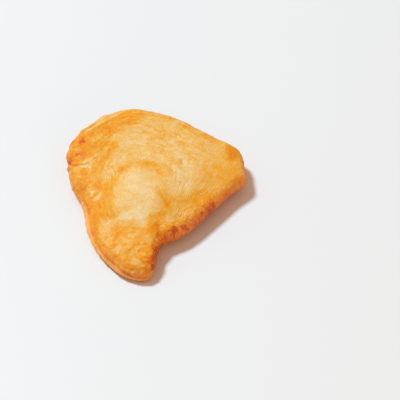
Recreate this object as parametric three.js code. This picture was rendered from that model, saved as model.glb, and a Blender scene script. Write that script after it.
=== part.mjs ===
// A fried samosa: one puffed, three-cornered pastry lying on its flat side.
// Units are millimetres, +Z is up, and the origin is under the middle of the pastry, where it rests.
// -Y is the narrow front tip, +X is the blunt corner, and -X is the side that was folded and sealed.
import * as THREE from "three";

// ---------- driving dimensions ----------
const CROWN_HEIGHT = 14.2; // height of the filled middle, before the swells are added
const MIDDLE = new THREE.Vector2(-2, 3); // plan position of the pole that the skin's rings close on
const INNER_RADIUS = 44; // radius that the inner rings tend to
const SEAL_IN = 1.4; // how far in from the rim the groove of the sealed edge runs
const SEAL_HALF_WIDTH = 0.7;
const GRID = 28; // squares along each side of the six-sided grid that the skin is drawn on

// The rim is the widest line, where the upper and the lower dough meet. Anticlockwise from above:
// x, y and z place it; shoulder is the height where the side has turned into the top, and round is
// how far in from the rim that happens; tuck is how far in the underside comes down to rest;
// seal is the depth of the groove left by pressing the edge shut.
const RIM = [
  { name: "front tip, right side", x: 1.3, y: -50, z: 4.6, shoulder: 8.2, round: 4.8, tuck: 8, seal: 0 },
  { name: "notch behind the tip", x: 4, y: -37.2, z: 5.8, shoulder: 9.6, round: 5.4, tuck: 9, seal: 0 },
  { name: "belly, front", x: 14.6, y: -30.7, z: 6.3, shoulder: 9.8, round: 4.8, tuck: 12, seal: 0 },
  { name: "belly, middle", x: 27.5, y: -14.7, z: 6.4, shoulder: 10, round: 4.8, tuck: 13, seal: 0 },
  { name: "belly, rear", x: 37.8, y: -0.8, z: 6.6, shoulder: 10.4, round: 4.8, tuck: 13, seal: 0 },
  { name: "blunt corner, front", x: 46.3, y: 9.4, z: 6.8, shoulder: 11.2, round: 5, tuck: 12, seal: 0 },
  { name: "blunt end", x: 45.8, y: 18.4, z: 7.4, shoulder: 12.4, round: 5.4, tuck: 11, seal: 0 },
  { name: "blunt corner, rear", x: 43.6, y: 29.8, z: 8, shoulder: 13.4, round: 6, tuck: 9, seal: 0 },
  { name: "back, right", x: 27, y: 43.4, z: 8, shoulder: 15.4, round: 8, tuck: 10, seal: 0 },
  { name: "back, middle", x: 7, y: 59, z: 8, shoulder: 16, round: 9, tuck: 11, seal: 0 },
  { name: "back, left", x: -15, y: 65.6, z: 8, shoulder: 16, round: 9, tuck: 11, seal: 0 },
  { name: "pinched corner, rear", x: -34.6, y: 55.4, z: 8, shoulder: 14, round: 7, tuck: 9, seal: 0 },
  { name: "pinched corner", x: -46.8, y: 36, z: 7, shoulder: 12.5, round: 7, tuck: 8, seal: 0.3 },
  { name: "fold", x: -45.5, y: 18, z: 5.5, shoulder: 10.5, round: 7, tuck: 7, seal: 0.5 },
  { name: "left edge, back end", x: -42.9, y: 6, z: 4.4, shoulder: 9.2, round: 6.8, tuck: 6.5, seal: 0.6 },
  { name: "left edge, rear", x: -37.4, y: -5, z: 3.5, shoulder: 8, round: 6.5, tuck: 6, seal: 0.6 },
  { name: "left edge, middle", x: -31.7, y: -29.2, z: 2.8, shoulder: 7.2, round: 5.5, tuck: 4, seal: 0.6 },
  { name: "left edge, front", x: -23.8, y: -44.5, z: 2.6, shoulder: 7, round: 5, tuck: 4, seal: 0.6 },
  { name: "front tip", x: -12, y: -56.5, z: 2.6, shoulder: 7.2, round: 4.8, tuck: 4, seal: 0.6 },
  { name: "front tip, corner", x: -1.5, y: -57.8, z: 3, shoulder: 7.4, round: 4.8, tuck: 4, seal: 0.5 },
];

// Broad swells of the top, which fade out with distance.
const SWELLS = [
  { name: "dome over the filling", x: -7, y: -12, radius: 18, lift: 3.4 },
  { name: "second swell", x: 16, y: 14, radius: 18, lift: 1 },
  { name: "ridge down the front tip", x: -8, y: -42, radius: 13, lift: 1.5 },
];

// The pleat pressed into the top at the pinched corner, along a straight line in plan.
const PLEAT = { from: [-48, 22], to: [-31, 18], halfWidth: 3, depth: 0.7 };

// ---------- the rim, and what varies along it ----------
const around = (values) => {
  const points = RIM.map((row) => new THREE.Vector3(...values(row)));
  return new THREE.CatmullRomCurve3(points, true, "centripetal");
};
const rim = around((row) => [row.x, row.y, row.z]);
const section = around((row) => [row.shoulder, row.round, row.tuck]);
const seal = around((row) => [row.seal, 0, 0]);
rim.arcLengthDivisions = 600;
const rimOutline = rim.getSpacedPoints(400).map((point) => point.setZ(0));
const START_TURN = -0.235; // azimuth of the rim's first point, as a share of a full turn

function distanceToLine(x, y, points) {
  const segment = new THREE.Line3();
  const nearest = new THREE.Vector3();
  const here = new THREE.Vector3(x, y, 0);
  let least = Infinity;
  for (let i = 0; i + 1 < points.length; i++) {
    segment.set(points[i], points[i + 1]).closestPointToPoint(here, true, nearest);
    least = Math.min(least, nearest.distanceTo(here));
  }
  return least;
}

const bell = (distance, halfWidth) => Math.exp(-((distance / halfWidth) ** 2));

function swellAt(x, y) {
  return SWELLS.reduce((sum, s) => sum + s.lift * bell(Math.hypot(x - s.x, y - s.y), s.radius), 0);
}

function pleatAt(x, y) {
  const line = [new THREE.Vector3(...PLEAT.from, 0), new THREE.Vector3(...PLEAT.to, 0)];
  return PLEAT.depth * bell(distanceToLine(x, y, line), PLEAT.halfWidth);
}

// Rises from 0 at the rim to 1 at a distance of round, as a quarter of an ellipse.
function sideCurve(distance, round) {
  const left = 1 - Math.min(distance / round, 1);
  return Math.sqrt(1 - left * left);
}

// A point of the skin for a direction on a unit sphere.
function skinPoint(direction) {
  const turn = Math.atan2(direction.y, direction.x) / (2 * Math.PI);
  const along = (((turn - START_TURN) % 1) + 1) % 1;
  const edge = rim.getPointAt(along);
  const share = rim.getUtoTmapping(along);
  const { x: shoulder, y: round, z: tuck } = section.getPoint(share);
  // less than 1, so that more of the grid's rings fall on the side, where the form bends most
  const out = Math.pow(Math.hypot(direction.x, direction.y), 0.75);
  const plan = new THREE.Vector2(direction.x, direction.y).setLength(INNER_RADIUS);
  plan.lerp(new THREE.Vector2(edge.x, edge.y).sub(MIDDLE), THREE.MathUtils.smoothstep(out, 0, 1));
  plan.multiplyScalar(out).add(MIDDLE);
  const { x, y } = plan;
  const inward = distanceToLine(x, y, rimOutline);
  if (direction.z < 0) return new THREE.Vector3(x, y, edge.z * (1 - sideCurve(inward, tuck)));
  const pressed = pleatAt(x, y) + seal.getPoint(share).x * bell(inward - SEAL_IN, SEAL_HALF_WIDTH);
  const top = THREE.MathUtils.lerp(CROWN_HEIGHT, shoulder, out ** 2) + swellAt(x, y) - pressed;
  return new THREE.Vector3(x, y, THREE.MathUtils.lerp(edge.z, top, sideCurve(inward, round)));
}

function pastrySkin() {
  const skin = new THREE.BoxGeometry(2, 2, 2, GRID, GRID, GRID);
  const position = skin.attributes.position;
  const corner = new THREE.Vector3();
  for (let i = 0; i < position.count; i++) {
    corner.fromBufferAttribute(position, i);
    // evens out the squares' sizes before they are put on the sphere
    corner.set(...corner.toArray().map((c) => Math.tan((c * Math.PI) / 4)));
    const point = skinPoint(corner.normalize());
    position.setXYZ(i, point.x, point.y, point.z);
  }
  skin.deleteAttribute("normal");
  skin.deleteAttribute("uv");
  skin.computeBoundingBox();
  const centre = skin.boundingBox.getCenter(new THREE.Vector3());
  return skin.translate(-centre.x, -centre.y, 0);
}

const samosa = new THREE.Group();
const fried = new THREE.MeshStandardMaterial({ color: 0xe9a84c, roughness: 0.5, metalness: 0 });
const pastry = new THREE.Mesh(pastrySkin(), fried);
pastry.name = "pastry";
samosa.add(pastry);
export default samosa;
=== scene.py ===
import math

import bmesh
import bpy
import numpy as np
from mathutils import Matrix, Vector, noise


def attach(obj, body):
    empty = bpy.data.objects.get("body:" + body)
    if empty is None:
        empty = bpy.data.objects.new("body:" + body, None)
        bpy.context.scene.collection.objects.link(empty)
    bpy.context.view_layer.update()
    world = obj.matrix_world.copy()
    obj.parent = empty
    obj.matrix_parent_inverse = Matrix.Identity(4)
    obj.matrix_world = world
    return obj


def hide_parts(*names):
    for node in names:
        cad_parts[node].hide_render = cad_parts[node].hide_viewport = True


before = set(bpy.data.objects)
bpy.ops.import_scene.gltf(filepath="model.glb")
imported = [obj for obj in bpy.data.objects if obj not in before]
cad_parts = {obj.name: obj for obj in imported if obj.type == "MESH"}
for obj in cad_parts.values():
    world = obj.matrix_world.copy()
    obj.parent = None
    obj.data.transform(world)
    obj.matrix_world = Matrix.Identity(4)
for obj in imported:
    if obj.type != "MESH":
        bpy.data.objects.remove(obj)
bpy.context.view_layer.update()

# ---- The dough's shape ----
# One sheet of wheat dough, folded over its filling and pressed shut along the left edge. It starts as
# the solid's own skin, made of squares again and subdivided twice, and what folding and pressing did to
# the dough is then worked into that skin as ridges and grooves. Places and sizes here are millimetres.
MM = 0.001
SAME_PLACE = 0.01 * MM
ANY_ANGLE = math.pi
dough = bmesh.new()
dough.from_mesh(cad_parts["pastry"].data)
bmesh.ops.remove_doubles(dough, verts=dough.verts, dist=SAME_PLACE)
bmesh.ops.join_triangles(
    dough, faces=dough.faces, angle_face_threshold=ANY_ANGLE, angle_shape_threshold=ANY_ANGLE
)
crust_mesh = bpy.data.meshes.new("crust")
dough.to_mesh(crust_mesh)
dough.free()
crust = bpy.data.objects.new("crust", crust_mesh)
bpy.context.scene.collection.objects.link(crust)


def as_plain_mesh(piece):
    """Turns what a piece's modifiers make into its own mesh, and removes them."""
    evaluated = piece.evaluated_get(bpy.context.evaluated_depsgraph_get())
    mesh = bpy.data.meshes.new_from_object(evaluated)
    piece.modifiers.clear()
    piece.data = mesh
    piece.data.polygons.foreach_set("use_smooth", [True] * len(mesh.polygons))


# Steam rounds off what folding left sharp, so the top's heights are evened out before the skin gets finer.
top = crust.vertex_groups.new(name="top")
for corner in crust_mesh.vertices:
    facing_up = (corner.normal.z - 0.80) / 0.15  # 0 where the shoulder starts, 1 on the top
    top.add([corner.index], max(0.0, min(1.0, facing_up)), "REPLACE")
puffing = crust.modifiers.new("puffing", "SMOOTH")
puffing.vertex_group = "top"
puffing.use_x = puffing.use_y = False
puffing.factor = 0.6
puffing.iterations = 12
smooth = crust.modifiers.new("smooth", "SUBSURF")
smooth.levels = smooth.render_levels = 2
as_plain_mesh(crust)


def corners_of(mesh):
    """Corner places in millimetres, and outward normals."""
    places = np.empty(len(mesh.vertices) * 3)
    normals = np.empty(len(mesh.vertices) * 3)
    mesh.vertices.foreach_get("co", places)
    mesh.vertices.foreach_get("normal", normals)
    return places.reshape(-1, 3) / MM, normals.reshape(-1, 3)


def distance_to_path(path, px, py):
    """Plan distance from each corner to a bent line, and how far along the line its nearest point lies."""
    nearest = np.full(len(px), np.inf)
    reached = np.zeros(len(px))
    walked = 0.0
    for (ax, ay), (bx, by) in zip(path[:-1], path[1:]):
        length = math.hypot(bx - ax, by - ay)
        share = np.clip(((px - ax) * (bx - ax) + (py - ay) * (by - ay)) / length**2, 0, 1)
        gap = np.hypot(px - ax - share * (bx - ax), py - ay - share * (by - ay))
        closer = gap < nearest
        nearest[closer] = gap[closer]
        reached[closer] = walked + share[closer] * length
        walked += length
    return nearest, reached


def bell(distance, half_width):
    """1 at no distance, and smoothly down towards 0 past the half width."""
    return np.exp(-(distance / half_width) ** 2)


def rise(value, start, end):
    """0 before start, 1 past end, and smooth between them."""
    share = np.clip((value - start) / (end - start), 0, 1)
    return share * share * (3 - 2 * share)


def graded(distance, steps):
    """The level at a distance, going straight from each step of distance and level to the next."""
    distances, levels = zip(*steps)
    return np.interp(distance, distances, levels)


def drift(size, seed):
    """Smooth wandering between about -1 and 1 over the skin, with swings about as wide as size."""
    start = Vector((seed, -seed, 2 * seed))
    return np.array([noise.noise(Vector(corner) / size + start) for corner in place])


place, normal = corners_of(crust.data)
x, y, z = place.T.copy()

# The outline, found by walking round the skin's widest places from the left side on, by way of the front
# tip. Every corner has a distance in from it, and a distance walked around it.
MIDDLE = (-2.0, 0.5)
SECTORS = 360
turn = np.arctan2(y - MIDDLE[1], x - MIDDLE[0])
reach = np.hypot(x - MIDDLE[0], y - MIDDLE[1])
sector = ((turn + math.pi) / (2 * math.pi) * SECTORS).astype(int) % SECTORS
outline = []
for step in range(SECTORS):
    widest = np.flatnonzero(sector == step)
    if len(widest):
        widest = widest[np.argmax(reach[widest])]
        outline.append((x[widest], y[widest]))
outline.append(outline[0])
inward, around = distance_to_path(outline, x, y)


def around_at(*spots):
    """The distances walked around the outline to reach some plan places."""
    spot_x, spot_y = np.array(spots).T
    return distance_to_path(outline, spot_x, spot_y)[1]


upper = rise(normal[:, 2], -0.35, 0.15)  # 1 on the top and the walls, 0 underneath
seen = rise(normal[:, 2], -0.85, -0.55)  # 1 down to where the walls turn under
steep = 1 - rise(normal[:, 2], 0.45, 0.88)  # 1 on the walls and underneath, 0 on the top

# The sealed edge runs down the left side and round the tip: a lip, and a groove just above it.
lip_start, lip_end = around_at((-36.2, -7), (0, -61))
LIP_TOPS = [
    # distance back from the lip's end, height of its top
    (0, 2.6),
    (7, 2.8),
    (12, 3.9),
    (17, 4.6),
    (30, 4.8),
    (43, 5.4),
    (50, 6.1),
]
GROOVE_DEPTH = 0.3
sealed = rise(around, lip_start - 9, lip_start + 9) * (1 - rise(around, lip_end - 3, lip_end + 2))
lip_top = graded(lip_end - around, LIP_TOPS) + 0.25 * drift(6, 41)
groove_width = 0.8 + 0.8 * rise(around, lip_end - 20, lip_end - 6)
groove = sealed * bell(z - lip_top - 0.3, groove_width) * upper
place -= normal * (GROOVE_DEPTH * groove)[:, None]

# Lines that folding left: grooves pressed in, and ridges where the dough doubled (a negative depth).
folds = [
    # path in plan, half width, depth
    # slit of the pinched corner, and a shorter slit behind it
    ([(-45.7, 19.6), (-43.3, 15.8), (-39.8, 13.4), (-37.4, 13.4), (-34.6, 13.7)], 0.5, 0.55),
    ([(-43.5, 18.8), (-41.6, 17), (-39.8, 16.9), (-37.4, 17)], 0.5, 0.35),
    # flap between the slits, and flap in front of them
    ([(-38.7, 15), (-37, 15.3), (-34, 16.1), (-30.5, 19)], 0.9, -0.35),
    ([(-45.2, 16.5), (-42.9, 13.4), (-38.8, 11.5), (-33.6, 10.8)], 0.9, -0.35),
    # nicks behind the slits
    ([(-35, 20.6), (-33, 22.2)], 0.5, 0.35),
    ([(-43.2, 23.3), (-40.7, 21.9), (-38.3, 23.2)], 0.6, 0.25),
    # rolled edge behind the pinched corner, and the creases beside it
    ([(-36.6, 39.6), (-32, 42.2)], 0.9, -0.3),
    ([(-36.9, 41.7), (-32.3, 45.9)], 0.5, 0.35),
    ([(-27.7, 33), (-29.7, 30.6), (-32.2, 29.1)], 0.7, 0.25),
    # tucks above the sealed edge
    ([(-33, -7), (-30.8, -8.2)], 0.9, -0.3),
    ([(-31.4, -11.3), (-28.2, -9)], 0.5, 0.4),
    ([(-28.4, -13.9), (-26.6, -10)], 1.0, -0.35),
    ([(-41.2, 0.4), (-38.5, -3.7)], 0.5, 0.35),
    # crease running up from the notch
    ([(1.5, -8.9), (3.6, -14.6), (5.7, -18.9), (7.1, -21.8)], 0.6, 0.25),
    # foot of the dome
    (
        [(-21.4, -8.4), (-20.7, 0.2), (-18.2, 5.7), (-13.8, 9.3), (-6.8, 11.2), (-0.8, 9.2), (3.3, 1.6)],
        1.6,
        0.15,
    ),
]
creased = np.zeros(len(x))
for path, half_width, depth in folds:
    pressed = depth * bell(distance_to_path(path, x, y)[0], half_width) * upper
    place -= normal * pressed[:, None]
    creased += pressed

# Lumps and dents of the edge.
edge_lumps = [
    # plan place, half width, height
    ((-45.7, 19.4), 1.5, -1.2),  # notch of the pinched corner
    ((-45.2, 15.4), 1.8, 0.5),
    ((-46.8, 25.3), 2.4, 0.5),
    ((-42.5, 38.7), 1.8, -0.5),
    ((-38.7, 42.1), 2.5, 0.5),
    ((-33.2, 48.3), 2.0, -1.0),
    ((-28.8, 52.9), 3.0, 0.6),
    ((19.3, 39.7), 2.2, -0.4),
    ((24.3, 35.8), 2.2, 0.6),
    ((31.3, 32.6), 2.5, -0.3),
    ((-36.5, -5.1), 2.0, -0.4),
    ((-34, -11), 2.0, 0.4),
]
for (px, py), half_width, height in edge_lumps:
    place += normal * (height * bell(np.hypot(x - px, y - py), half_width) * upper)[:, None]
crust.data.vertices.foreach_set("co", (place * MM).ravel())
crust.data.update()

# ---- The browning ----
# Hot oil browns dough from the outside in: the edges, the walls and the creases most, while the puffed
# dome stays pale. Each corner of the skin gets a doneness, from 0 (cream) to 1 (dark brown), painted on
# place by place and edged unevenly, as oil does.
BASE_DONENESS = 0.275
browning = [
    # plan place, half length, half width, turn in degrees, doneness
    # broad zones
    ((-36.7, 24.1), 22, 13, 90, 0.55),  # pinched corner
    ((-30.6, -10.5), 29, 8.5, 105, 0.55),  # beside the sealed edge
    ((-13.5, -48.5), 21, 12, 118, 0.47),  # front tip
    ((-20.8, 45.9), 18, 7.5, 36, 0.54),  # back, left
    ((38.3, 8.7), 18, 10.5, 60, 0.40),  # blunt corner
    ((22.3, 36.2), 14, 4.5, -38, 0.40),  # back, right
    ((3.3, 50.5), 7, 4, -20, 0.42),
    ((6.8, -19.4), 10, 5.5, -62, 0.42),  # crease
    ((16.2, -19.5), 11, 6, 45, 0.36),
    # pale swells, and the brown between them
    ((-6.7, -13.8), 19, 10, 97, 0.15),  # dome
    ((-8.7, -6.4), 9.5, 6, 112, 0.05),
    ((-7.3, -28), 9, 4.4, 8, 0.05),
    ((10.8, 22.2), 10.5, 4.2, -60, 0.19),  # second swell
    ((13.3, -1.5), 13, 5.5, 80, 0.15),
    ((-1.8, 15.7), 9.5, 4, -32, 0.16),
    ((-10.8, 28.6), 6.5, 2.8, -8, 0.17),
    ((-2.8, 8.7), 7, 3, -5, 0.34),
    ((-22.2, 1.2), 7, 2.5, 78, 0.30),
    # patches of the pinched corner and behind it
    ((-38.9, 31.8), 3.0, 2.0, 80, 0.90),
    ((-40.7, 21.0), 6, 2.6, 168, 0.71),
    ((-27, 40.6), 6.5, 3, 65, 0.60),
    ((-24.8, 22.2), 6, 3.5, 60, 0.48),
    ((-35.1, 13.1), 5, 3, 5, 0.34),  # flap in front of the slit
    ((-29.7, 34), 3.5, 2.6, 35, 0.42),
    ((-33.7, 43.4), 6, 1.3, 45, 0.25),
    # patches above the sealed edge
    ((-27.5, -12.2), 2.6, 1.6, 45, 0.38),
    ((-30.6, -8.4), 2.2, 1.3, 30, 0.35),
    ((-28.1, -3.3), 3.8, 2.4, 100, 0.67),
    ((-23.1, -14), 4.5, 3, 40, 0.60),
    ((-30.9, -15.8), 3.8, 2.7, 105, 0.68),
    ((-30, 5.5), 6, 3, 95, 0.54),
    ((-23, -31.5), 4.5, 2.8, 85, 0.32),
    # patches of the front tip
    ((-16.6, -37.8), 3.8, 2.8, 70, 0.55),
    ((-17, -48.3), 3.6, 2.4, 60, 0.26),
    ((-10.6, -41.4), 2.2, 1.6, 0, 0.25),
    ((-7.6, -49.1), 6, 3, 25, 0.54),
    ((-6.8, -55.9), 3.8, 2.4, 0, 0.25),
    # patches of the blunt corner
    ((39.2, 21.6), 8, 3.4, 88, 0.63),
    ((38.8, 18.7), 4, 2.2, 80, 0.70),
    ((30.8, 9.2), 2.4, 2, 0, 0.50),
    # patches above the notch and the belly
    ((7.2, -22.5), 2.6, 2, 0, 0.54),
    ((1.5, -32), 8, 3.6, 70, 0.50),
    ((17.8, -16.7), 3, 2, -60, 0.42),
    ((1.2, -36.6), 4.5, 3, 60, 0.64),
    # dark spots along the top of the belly's wall
    ((10.2, -34.9), 3.0, 1.6, 20, 1.00),
    ((15.5, -31.6), 2.8, 1.4, 40, 0.97),
    ((23.8, -21.6), 2.4, 1.3, 50, 0.96),
    ((29.8, -15), 2.4, 1.3, 50, 0.96),
]

# Each place is shifted a little, this way and that, so that the patches get uneven edges.
wander_x = x + 1.6 * drift(7, 3) + 0.8 * drift(2.6, 5)
wander_y = y + 1.6 * drift(7, 11) + 0.8 * drift(2.6, 13)
doneness = np.full(len(x), BASE_DONENESS)
for (px, py), half_length, half_width, degrees, level in browning:
    cos, sin = math.cos(math.radians(degrees)), math.sin(math.radians(degrees))
    along = ((wander_x - px) * cos + (wander_y - py) * sin) / half_length
    across = ((wander_y - py) * cos - (wander_x - px) * sin) / half_width
    cover = 1 - rise(np.hypot(along, across), 0.55, 1.35)  # full in the middle, half at about the edge
    doneness += (level - doneness) * cover * upper

# The foot of the dome and the pressed creases are browner, the lip is even, and the groove above it is
# dark. Ridges come out a little paler.
dome_foot = [(-21.6, -9.5), (-20.7, 0.2), (-18.2, 5.7), (-13.8, 9.5), (-6.8, 11.6), (-0.8, 9.5), (3.1, 1.6)]
LIP_DONENESS = 0.48
GROOVE_DONENESS = 0.86
doneness += 0.13 * bell(distance_to_path(dome_foot, wander_x, wander_y)[0], 1.9) * upper
doneness += 0.5 * creased
lip = sealed * (1 - rise(z - lip_top, -0.8, 0.3)) * seen
doneness += (LIP_DONENESS - doneness) * lip
towards_tip = 0.4 + 0.6 * rise(around, lip_end - 40, lip_end - 24)
doneness += (GROOVE_DONENESS - doneness) * groove * towards_tip

# The wall along the notch and the belly lay in the oil. It is darkest a little above its foot, and ragged
# where it turns gold further up.
belly_start, belly_end, foot_end = around_at((0.3, -59), (47.4, 15), (20.3, -30))
UP_THE_WALL = [
    # climb, doneness
    (0.5, 0.80),
    (1.5, 0.90),
    (2.8, 0.94),
    (4.6, 0.79),
    (6.6, 0.62),
    (8.7, 0.48),
    (11, 0.38),
    (15, 0.30),
]
ALONG_THE_WALL = [
    # distance walked from the tip's side of the notch, doneness added
    (0, 0.16),
    (14, 0.13),
    (24, -0.07),
    (42, -0.08),
    (60, 0.12),
    (80, -0.06),
]
FOOT_DONENESS = 0.55
past_tip = around - belly_start
belly = rise(around, belly_start - 4, belly_start + 4) * (1 - rise(around, belly_end - 12, belly_end + 12))
# how far up the wall a corner is, and on over the wall's shoulder
climb = 0.76 * z + 0.65 * inward * np.sign(normal[:, 2]) - 1.3
# the same, shifted up and down along the wall, so that the bands of colour aren't straight
ragged = climb - 1.4 * bell(past_tip - 26, 9) + 1.2 * drift(1.6, 17) + 2.4 * drift(5, 19)
oiled = graded(ragged, UP_THE_WALL) + graded(past_tip, ALONG_THE_WALL)
doneness += (np.maximum(doneness, oiled) - doneness) * belly * (1 - rise(climb, 13, 17))
foot = rise(around, belly_start + 14, belly_start + 22) * (1 - rise(around, foot_end - 8, foot_end + 6))
doneness += (FOOT_DONENESS - doneness) * foot * (1 - rise(climb, 0.9, 1.9))

# Every other wall is evenly browned, and so is the underside.
WALL_DONENESS = 0.58
UNDERSIDE_DONENESS = 0.62
border = (1 - rise(normal[:, 2], 0.74, 0.90)) * (1 - belly) * (1 - lip) * upper
doneness += (np.maximum(doneness, WALL_DONENESS) - doneness) * border
doneness += (UNDERSIDE_DONENESS - doneness) * (1 - upper) * (1 - lip) * (1 - belly * rise(climb, -2, 0))

# Directions that the finer marks follow. Stretch lines ring the dome and turn with the outline further out;
# fibres run down the walls.
DOME = (-4.7, -12.8)
RINGS_SPREAD = 45
LINE_LENGTH, LINE_WIDTH = 10.0, 0.9
FIBRE_WIDTH, FIBRE_RUN_IN, FIBRE_RUN_UP = 0.8, 4, 5
from_dome = np.hypot(x - DOME[0], y - DOME[1])
ring_number = RINGS_SPREAD * from_dome / (from_dome + inward) + 1.2 * drift(12, 23) + 0.35 * drift(4, 29)
lines = np.column_stack((x / LINE_LENGTH, y / LINE_LENGTH, ring_number / LINE_WIDTH))
across_fibres = around / FIBRE_WIDTH + 1.4 * drift(3.5, 31)
fibres = np.column_stack((across_fibres, inward / FIBRE_RUN_IN, z / FIBRE_RUN_UP))

# Where the marks show. The dome is smooth, and the tip and the left side are crumpled more than stretched.
off_dome = rise(from_dome, 9, 24)
off_tip = rise(y, -44, -30)
off_left = rise(x, -36, -24)
on_tip = 1 - off_tip
on_left = 1 - off_left
patchy = 0.45 + 0.55 * rise(drift(8, 61), -0.3, 0.3)
stretched = (0.12 + 0.88 * off_dome * off_tip * off_left) * patchy
stretched = stretched * (1 - 0.55 * rise(x, 16, 34)) * (1 - steep) * upper
wrinkled_edge = upper * on_left * (1 - rise(inward, 3, 9))
other_walls = np.maximum(upper * steep * 0.3, 0.5 * wrinkled_edge) * (1 - belly)
beyond_notch = 0.3 + 0.7 * rise(around, belly_start + 16, belly_start + 34)
# Painted light: a slight pink tint low on the belly's wall and on the other walls, which stands in for
# light reflected onto them in the shade.
painted_bounce_belly = belly * (1 - rise(climb, 5, 10)) * beyond_notch
painted_bounce_walls = 0.8 * steep * upper * (1 - lip) * (1 - belly)
crumpled = 0.25 + 0.75 * np.maximum(on_tip, 1 - rise(x, -34, -22))
rough_parts = np.maximum(on_tip, np.maximum(on_left, belly * (1 - rise(climb, 5, 9))))


def keep(name, values):
    """Stores one number or one vector for each corner of the skin."""
    if values.ndim == 1:
        crust.data.attributes.new(name, "FLOAT", "POINT").data.foreach_set("value", values)
    else:
        crust.data.attributes.new(name, "FLOAT_VECTOR", "POINT").data.foreach_set("vector", values.ravel())


keep("doneness", doneness)
keep("lines", lines)
keep("fibres", fibres)
keep("stretched", stretched)
keep("wall", other_walls + belly * (1 - rise(climb, 7, 12)))
keep("lip", lip)
# Painted light: on the belly's shoulder, where it turns away from the key light, the colour is lightened to
# offset the shade there.
keep("shoulder", belly * rise(climb, 3, 7) * (1 - rise(climb, 8, 14)) * upper)
# Painted light: where the walls take the pink tint that stands in for reflected light in the shade.
keep("painted_bounce", np.maximum(painted_bounce_belly, painted_bounce_walls))
keep("upper", upper)
keep(
    "mottled",
    0.75 + 0.30 * rise(from_dome, 12, 24) + 0.3 * on_tip + 0.5 * on_left - 0.55 * rise(x, 10, 24),
)
keep("crumpled", upper * crumpled * rise(from_dome, 9, 20))
keep("flecked", 0.5 - 0.28 * on_tip - 0.1 * on_left)
keep("specked", upper * np.maximum(rise(from_dome, 10, 22) * 0.35, rough_parts))
keep("blistered", upper * (0.35 + 0.65 * on_tip + 0.3 * belly) * rise(from_dome, 12, 22))

# ---- The fried surface ----
# Frying lifts the skin into lumps, sharply creased crumples, fine ripples along the stretch lines and small
# blisters full of steam. Geometry Nodes move the skin along its normals by all four, and remember where
# the blisters are.


def add(tree, kind, inputs=(), **settings):
    """Adds a node. Each input is a socket name or number with a value, or with the output that feeds it."""
    made = tree.nodes.new(kind)
    for name, value in settings.items():
        setattr(made, name, value)
    for socket, value in inputs:
        if isinstance(value, bpy.types.NodeSocket):
            tree.links.new(value, made.inputs[socket])
        else:
            made.inputs[socket].default_value = value
    return made


def maths(tree, operation, *values):
    """One step of arithmetic on numbers or outputs."""
    return add(tree, "ShaderNodeMath", enumerate(values), operation=operation).outputs[0]


def blend(tree, value, low, high, to_low=0.0, to_high=1.0):
    """Carries a value from one range to another, with a soft start and end."""
    given_range = (("Value", value), ("From Min", low), ("From Max", high))
    inputs = given_range + (("To Min", to_low), ("To Max", to_high))
    return add(tree, "ShaderNodeMapRange", inputs, interpolation_type="SMOOTHSTEP").outputs[0]


relief = bpy.data.node_groups.new("fried_relief", "GeometryNodeTree")
relief.interface.new_socket("Skin", in_out="OUTPUT", socket_type="NodeSocketGeometry")
relief.interface.new_socket("Skin", in_out="INPUT", socket_type="NodeSocketGeometry")
relief.interface.new_socket("Crust", in_out="INPUT", socket_type="NodeSocketMaterial")
relief_sizes = {
    "Lump Size": 11 * MM,
    "Lump Height": 1.5 * MM,
    "Crumple Size": 4 * MM,
    "Crumple Height": 1.6 * MM,
    "Ripple Height": 0.12 * MM,
    "Blister Spacing": 4 * MM,
    "Blister Radius": 1.5 * MM,
    "Blister Height": 0.3 * MM,
}
for size in relief_sizes:
    relief.interface.new_socket(size, in_out="INPUT", socket_type="NodeSocketFloat")
given = add(relief, "NodeGroupInput").outputs
spot = add(relief, "GeometryNodeInputPosition").outputs[0]


def remembered(name, kind="FLOAT"):
    """A value stored for each corner of the skin."""
    inputs = (("Name", name),)
    return add(relief, "GeometryNodeInputNamedAttribute", inputs, data_type=kind).outputs["Attribute"]


def unevenness(vector, scale, detail):
    """Noise that swings up and down around 0."""
    inputs = (("Vector", vector), ("Scale", scale), ("Detail", detail))
    return maths(relief, "SUBTRACT", add(relief, "ShaderNodeTexNoise", inputs).outputs[0], 0.5)


def scaled(field, height, mask):
    """A height that grows with a field, where the mask allows it."""
    return maths(relief, "MULTIPLY", maths(relief, "MULTIPLY", field, height), mask)


# Lumps and ripples go up and down. Crumples only go up, and leave sharp creases where the noise crosses 0.
lumpy = unevenness(spot, maths(relief, "DIVIDE", 1.0, given["Lump Size"]), 1.5)
lump_lift = scaled(lumpy, given["Lump Height"], remembered("upper"))
crumply = unevenness(spot, maths(relief, "DIVIDE", 1.0, given["Crumple Size"]), 1.0)
crumple_lift = scaled(maths(relief, "ABSOLUTE", crumply), given["Crumple Height"], remembered("crumpled"))
rippled = unevenness(remembered("lines", "FLOAT_VECTOR"), 1.0, 1.0)
ripple_lift = scaled(rippled, given["Ripple Height"], remembered("stretched"))

# Blisters are scattered with a least distance between them, and each has a size of its own.
BLISTERS_PER_SQUARE_METRE = 90000.0
SMALLEST_BLISTER = 0.35
seeds = add(
    relief,
    "GeometryNodeDistributePointsOnFaces",
    (
        ("Mesh", given["Skin"]),
        ("Distance Min", given["Blister Spacing"]),
        ("Density Max", BLISTERS_PER_SQUARE_METRE),
        ("Density Factor", remembered("blistered")),
        ("Seed", 4),
    ),
    distribute_method="POISSON",
).outputs["Points"]
closest = add(relief, "GeometryNodeSampleNearest", (("Geometry", seeds),)).outputs["Index"]


def of_closest(value, kind):
    """A value of the blister nearest to each corner."""
    inputs = (("Geometry", seeds), ("Value", value), ("Index", closest))
    return add(relief, "GeometryNodeSampleIndex", inputs, data_type=kind).outputs[0]


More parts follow.
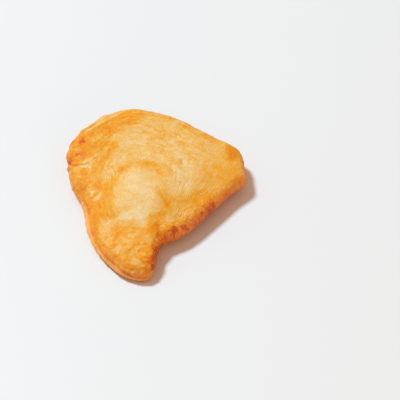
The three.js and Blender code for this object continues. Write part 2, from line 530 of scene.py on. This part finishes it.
grown = add(
    relief, "FunctionNodeRandomValue", ((2, SMALLEST_BLISTER), (3, 1.0), ("Seed", 9)), data_type="FLOAT"
).outputs[1]
size_here = of_closest(grown, "FLOAT")
gap = add(
    relief, "ShaderNodeVectorMath", ((0, spot), (1, of_closest(spot, "FLOAT_VECTOR"))), operation="DISTANCE"
).outputs["Value"]
share = maths(relief, "DIVIDE", gap, maths(relief, "MULTIPLY", given["Blister Radius"], size_here))
blister = blend(relief, share, 0.1, 1.0, 1.0, 0.0)
blister_lift = scaled(blister, size_here, given["Blister Height"])

broad_lift = maths(relief, "ADD", lump_lift, crumple_lift)
fine_lift = maths(relief, "ADD", ripple_lift, blister_lift)
lift = maths(relief, "ADD", broad_lift, fine_lift)
outward = add(relief, "GeometryNodeInputNormal").outputs[0]
offset = add(relief, "ShaderNodeVectorMath", ((0, outward), ("Scale", lift)), operation="SCALE").outputs[0]
noted = add(
    relief,
    "GeometryNodeStoreNamedAttribute",
    (("Geometry", given["Skin"]), ("Name", "blister"), ("Value", blister)),
    data_type="FLOAT",
    domain="POINT",
).outputs[0]
moved = add(relief, "GeometryNodeSetPosition", (("Geometry", noted), ("Offset", offset))).outputs[0]
real = add(relief, "GeometryNodeRealizeInstances", (("Geometry", moved),)).outputs[0]
coated = add(
    relief, "GeometryNodeSetMaterial", (("Geometry", real), ("Material", given["Crust"]))
).outputs[0]
add(relief, "NodeGroupOutput", (("Skin", coated),))


def linear(*srgb):
    """A colour given as 0 to 255 on a screen, as the light that it stands for."""
    shares = [part / 255 for part in srgb]
    return [s / 12.92 if s <= 0.04045 else ((s + 0.055) / 1.055) ** 2.4 for s in shares] + [1.0]


# Fried dough, from barely coloured to dark brown. Its doneness is mottled by noise, whose scale is a
# number of marks in a metre, and by the marks that follow the stretch lines and the fibres.
fried = bpy.data.materials.new("fried_crust")
fried.use_nodes = True
tree = fried.node_tree
skin = tree.nodes["Principled BSDF"]
crust_place = add(tree, "ShaderNodeTexCoord").outputs["Object"]


def stored(name, output="Fac"):
    """A value or a vector stored for each corner of the crust."""
    return add(tree, "ShaderNodeAttribute", attribute_name=name).outputs[output]


def grain(vector, scale, detail=2.0, distortion=0.0):
    """Noise between 0 and 1 that sits around 0.5."""
    inputs = (("Vector", vector), ("Scale", scale), ("Detail", detail), ("Distortion", distortion))
    return add(tree, "ShaderNodeTexNoise", inputs).outputs["Fac"]


def times(value, factor):
    """One value of the crust's material times another."""
    return maths(tree, "MULTIPLY", value, factor)


def shift(value, field, strength):
    """Moves a value up and down by a noise field times a strength."""
    return maths(tree, "ADD", value, times(maths(tree, "SUBTRACT", field, 0.5), strength))


line_marks = grain(stored("lines", "Vector"), 1.0, 1.5)
fibre_marks = grain(stored("fibres", "Vector"), 1.0, 2.0)
blotches = grain(crust_place, 130, 3.0, 0.4)
mottle = grain(crust_place, 340, 2.0, 0.6)
flecks = grain(crust_place, 900, 2.0)
pale_specks = blend(tree, grain(crust_place, 750, 1.0), 0.58, 0.70, 0.0, 0.22)
dark_specks = blend(tree, grain(crust_place, 620, 1.0), 0.40, 0.30, 0.0, 0.14)
browned = shift(stored("doneness"), blotches, times(stored("mottled"), 0.45))
browned = shift(browned, mottle, times(stored("mottled"), 0.50))
browned = shift(browned, flecks, stored("flecked"))
browned = shift(browned, line_marks, times(stored("stretched"), 0.70))
browned = shift(browned, fibre_marks, times(stored("wall"), 0.9))
browned = maths(tree, "SUBTRACT", browned, times(stored("blister"), 0.16))
browned = maths(tree, "SUBTRACT", browned, times(pale_specks, stored("specked")))
browned = maths(tree, "ADD", browned, times(dark_specks, stored("specked")))
shades = [
    # doneness, colour
    (0.00, (231, 200, 145)),
    (0.10, (231, 193, 127)),
    (0.20, (231, 183, 107)),
    (0.30, (231, 175, 88)),
    (0.40, (231, 165, 57)),
    (0.50, (231, 156, 34)),
    (0.60, (231, 148, 20)),
    (0.70, (231, 138, 22)),
    (0.80, (226, 123, 20)),
    (0.90, (212, 104, 20)),
    (1.00, (192, 86, 20)),
]
ramp = add(tree, "ShaderNodeValToRGB", (("Fac", browned),))
while len(ramp.color_ramp.elements) < len(shades):
    ramp.color_ramp.elements.new(0.5)
for stop, (level, shade) in zip(ramp.color_ramp.elements, shades):
    stop.position = level
    stop.color = linear(*shade)

# Three kinds of place have a colour that doneness alone doesn't give. The belly's shoulder is lightened
# and made less yellow, as painted light that offsets the shade where it turns away from the key light. The
# walls get a slight pink tint, as painted light that stands in for light reflected onto them in the shade.
# The lip is a plain pale orange.
SHOULDER_PAINTED_LIGHT = (1.14, 1.14, 1.35, 1.0)
PAINTED_BOUNCE_TINT = linear(252, 148, 140)
LIP_SHADE = linear(253, 178, 104)
FACTOR, UNDER, OVER, RESULT = 0, 6, 7, 2  # a Mix node's sockets for colours, by number


def mixed(under, over, factor, how="MIX"):
    """Lays a colour over another, or multiplies by it, as far as the factor says."""
    inputs = ((FACTOR, factor), (UNDER, under), (OVER, over))
    return add(tree, "ShaderNodeMix", inputs, data_type="RGBA", blend_type=how).outputs[RESULT]


# Painted light on the belly's shoulder, then painted reflected light on the walls, then the lip's own pale
# orange.
coloured = mixed(ramp.outputs["Color"], SHOULDER_PAINTED_LIGHT, stored("shoulder"), "MULTIPLY")
coloured = mixed(coloured, PAINTED_BOUNCE_TINT, times(stored("painted_bounce"), 0.16))
coloured = mixed(coloured, LIP_SHADE, times(stored("lip"), blend(tree, mottle, 0.3, 0.7, 0.35, 0.90)))
tree.links.new(coloured, skin.inputs["Base Color"])

# Oily dough has a soft gloss, lets a little light in, and is finely pitted.
tree.links.new(blend(tree, blotches, 0.3, 0.7, 0.50, 0.68), skin.inputs["Roughness"])
skin.inputs["Specular IOR Level"].default_value = 0.18
skin.inputs["Subsurface Weight"].default_value = 0.08
skin.inputs["Subsurface Radius"].default_value = (1.0, 0.45, 0.2)
skin.inputs["Subsurface Scale"].default_value = 1.5 * MM
pits = shift(0.0, flecks, 0.35)
pits = shift(pits, grain(crust_place, 1500, 2.0), 0.2)
pits = shift(pits, line_marks, times(stored("stretched"), 0.9))
pits = shift(pits, fibre_marks, times(stored("wall"), 1.2))
bump = add(tree, "ShaderNodeBump", (("Height", pits), ("Strength", 0.9), ("Distance", 0.6 * MM)))
tree.links.new(bump.outputs["Normal"], skin.inputs["Normal"])

frying = crust.modifiers.new("frying", "NODES")
frying.node_group = relief
settings = {"Crust": fried, **relief_sizes}
for socket in relief.interface.items_tree:
    if socket.name in settings:
        frying[socket.identifier] = settings[socket.name]
as_plain_mesh(crust)
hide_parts("pastry")
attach(crust, "root")

# ---- The studio ----
# A plain pale floor. One broad, soft, cool light stands high behind the pastry to the left, a weak warm
# one stands low in front of it to the right, and a dim warm surround keeps the shadows open.
bpy.ops.mesh.primitive_plane_add(size=8)
floor = bpy.context.object
floor.name = "floor"
pale = bpy.data.materials.new("pale_floor")
pale.use_nodes = True
pale.node_tree.nodes["Principled BSDF"].inputs["Base Color"].default_value = linear(229, 229, 229)
pale.node_tree.nodes["Principled BSDF"].inputs["Roughness"].default_value = 0.5
floor.data.materials.append(pale)


def soft_light(name, place, size, watts, tint):
    """A square lamp that faces the pastry."""
    lamp = bpy.data.lights.new(name, "AREA")
    lamp.color = tint
    lamp.size = size
    lamp.energy = watts
    holder = bpy.data.objects.new(name, lamp)
    bpy.context.scene.collection.objects.link(holder)
    holder.location = place
    holder.rotation_euler = (-Vector(place)).to_track_quat("-Z", "Y").to_euler()


soft_light("fill", (0.7, -1.0, 0.30), 0.8, 2.2, (1.0, 0.8, 0.6))
soft_light("key", (-2.30, 1.80, 3.90), 0.9, 250, (0.64, 0.87, 1.0))
world = bpy.data.worlds.new("studio")
bpy.context.scene.world = world
world.use_nodes = True
world.node_tree.nodes["Background"].inputs["Color"].default_value = (1, 0.68, 0.50, 1)
world.node_tree.nodes["Background"].inputs["Strength"].default_value = 0.54
bpy.context.scene.view_settings.view_transform = "Standard"

# ---- The camera ----
# It stands 59 cm from the point that it looks at and looks down at 40.5 degrees. The pastry lies left of
# the middle of the frame, with empty floor to its right.
LOOK_AT = Vector((22.825, -1.028, 0)) * MM
DISTANCE = 590 * MM
DOWN = math.radians(40.5)
lens = bpy.data.cameras.new("camera")
lens.sensor_width = 36
lens.lens = 103.7
camera = bpy.data.objects.new("camera", lens)
bpy.context.scene.collection.objects.link(camera)
camera.location = LOOK_AT + DISTANCE * Vector((0, -math.cos(DOWN), math.sin(DOWN)))
camera.rotation_euler = (math.pi / 2 - DOWN, 0, 0)
bpy.context.scene.camera = camera
